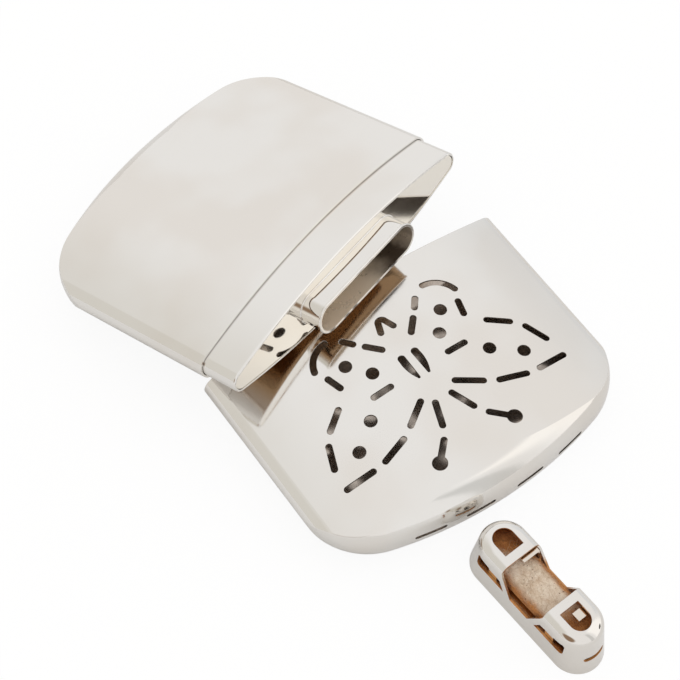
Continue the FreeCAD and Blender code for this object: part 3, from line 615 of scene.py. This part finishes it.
def solder_seam(around=360, leg=0.22, gap=0.012):
    """The soldered seam round the foot of the neck: a hollow fillet carried round a stadium.

    Its face is a quarter of a circle whose centre lies a leg out from the neck and a leg above
    the plate; a corner point in the joint closes the section, a gap off both.
    """
    sweep = np.linspace(-np.pi / 2, -np.pi, 7)
    out = np.r_[leg + leg * np.cos(sweep), 0.0] + gap
    rise = np.r_[leg + leg * np.sin(sweep), 0.0] + gap
    x, z = np.concatenate([stadium(around, NECK_REACH, NECK_RADIUS + far) for far in out]).T
    points = np.c_[x, np.repeat(PLATE_TOP + rise, around), -z]
    new_piece("solder_seam", TANK.out(points), (lattice(len(out), around, closed=True),),
              plated("solder", cloud=0.2, rim=SEAM_RIM), "tank")


fibre_pad()
loose_fibres()
felt_wick()
cotton_wadding()
solder_seam()


# ---------------------------------------------------------------- table, light and camera

WHITE = (1.0, 1.0, 1.0, 1.0)
TABLE_WHITE = (0.91, 0.91, 0.91, 1.0)
TABLE_HALF = 4.0  # metres
TABLE_GLOW = 1.026
# Shares of the glow in what the camera and the plate see of the table.
GLOW_TO_CAMERA, GLOW_TO_PLATE = 0.88, 0.05

# Walls of the room: azimuth and the angles from it where the wall starts and is full, in
# degrees, the rises of view at which it begins to fade and is gone, and its colour.
WALLS = (
    (150.0, 62.0, 25.0, 0.80, 0.99, (0.77, 0.75, 0.70)),
    (20.0, 32.0, 12.0, 0.50, 0.75, (0.84, 0.86, 0.88)),
    (-36.0, 27.0, 15.0, 0.84, 0.93, (1.19, 1.18, 1.16)),
    (-72.0, 7.0, 3.0, 0.75, 0.90, (0.72, 0.72, 0.71)),
)
# Dark spots of the room: direction, angles in degrees where it starts and is full, colour.
SPOTS = (
    ((-0.765, -0.441, 0.469), 24.0, 14.0, (0.30, 0.20, 0.13)),
    ((0.83, -0.51, 0.20), 7.0, 6.0, (0.05, 0.042, 0.036)),
)
ROOM_WHITE = (0.965, 0.96, 0.955)

# The camera's angles in degrees, then in millimetres its target, from the point of the table
# under the middle of the cap's mouth, its distance from that, its lens and its sensor.
VIEW_AZIMUTH, VIEW_ELEVATION = -34.85, 59.05
VIEW_TARGET, VIEW_DISTANCE = (-6.95, -6.31, 8.0), 379.31
LENS, SENSOR, NEAREST = 104.3, 36.0, 10.0


def table():
    """A white table that keeps a soft shadow of what lies on it.

    The camera, and a little the plate, see an even glow in place of the shaded white.
    """
    mesh = bpy.data.meshes.new("table")
    signs = ((-1, -1), (1, -1), (1, 1), (-1, 1))
    mesh.from_pydata([(TABLE_HALF * x, TABLE_HALF * y, 0) for x, y in signs], [], [(0, 1, 2, 3)])
    top = bpy.data.objects.new("table", mesh)
    bpy.context.scene.collection.objects.link(top)
    fin = Finish("table_white")
    shaded = fin.node("ShaderNodeBsdfDiffuse", inputs={"Color": TABLE_WHITE})
    glow = fin.node("ShaderNodeEmission", inputs={"Color": WHITE, "Strength": TABLE_GLOW})
    share = fin.seen_by("Camera") * GLOW_TO_CAMERA + fin.seen_by("Glossy") * GLOW_TO_PLATE
    fin.close(fin.mix(share, shaded, glow))
    mesh.materials.append(fin.material)


def within(cosine, outer, inner):
    """From 0 at the outer angle to 1 at the inner one, in degrees, by the angle's cosine."""
    return cosine.band(math.cos(math.radians(outer)), math.cos(math.radians(inner)))


def surround():
    """A white room with a greyer left wall, a bright screen on the right and dark spots.

    The camera sees plain white behind the table.
    """
    world = bpy.data.worlds.new("surround")
    bpy.context.scene.world = world
    world.use_nodes = True
    room = Tree(world.node_tree, "ShaderNodeOutputWorld")
    way = room.node("ShaderNodeTexCoord", output="Generated")
    rise = room.axes(way)[2]
    level = room.vector("NORMALIZE", room.stretched(way, (1.0, 1.0, 0.0)))
    colour = ROOM_WHITE
    for azimuth, outer, inner, fade, gone, tone in WALLS:
        turn = math.radians(azimuth)
        near = within(room.dot(level, (math.cos(turn), math.sin(turn), 0.0)), outer, inner)
        colour = room.blend(near * rise.band(fade, gone, 1.0, 0.0), colour, tone)
    for centre, outer, inner, tone in SPOTS:
        near = within(room.dot(way, tuple(Vector(centre).normalized())), outer, inner)
        colour = room.blend(near, colour, tone)
    mirrored = room.node("ShaderNodeBackground", inputs={"Color": colour, "Strength": 1.0})
    plain = room.node("ShaderNodeBackground", inputs={"Color": WHITE})
    room.close(room.mix(room.seen_by("Camera"), mirrored, plain))


def camera():
    """The camera: a long lens, high on the left of the closed end."""
    azimuth, elevation = math.radians(VIEW_AZIMUTH), math.radians(VIEW_ELEVATION)
    back = Vector((math.sin(azimuth) * math.cos(elevation),
                   -math.cos(azimuth) * math.cos(elevation), math.sin(elevation)))
    target = Vector((CAP.origin.x, CAP.origin.y, 0.0)) + Vector(VIEW_TARGET) * MM
    data = bpy.data.cameras.new("camera")
    data.sensor_width = SENSOR
    data.lens = LENS
    data.clip_start = NEAREST * MM
    eye = bpy.data.objects.new("camera", data)
    eye.location = target + back * VIEW_DISTANCE * MM
    eye.rotation_mode = "QUATERNION"
    eye.rotation_quaternion = (-back).to_track_quat("-Z", "Y")
    bpy.context.scene.collection.objects.link(eye)
    bpy.context.scene.camera = eye


table()
surround()
camera()
bpy.context.scene.view_settings.view_transform = "Standard"
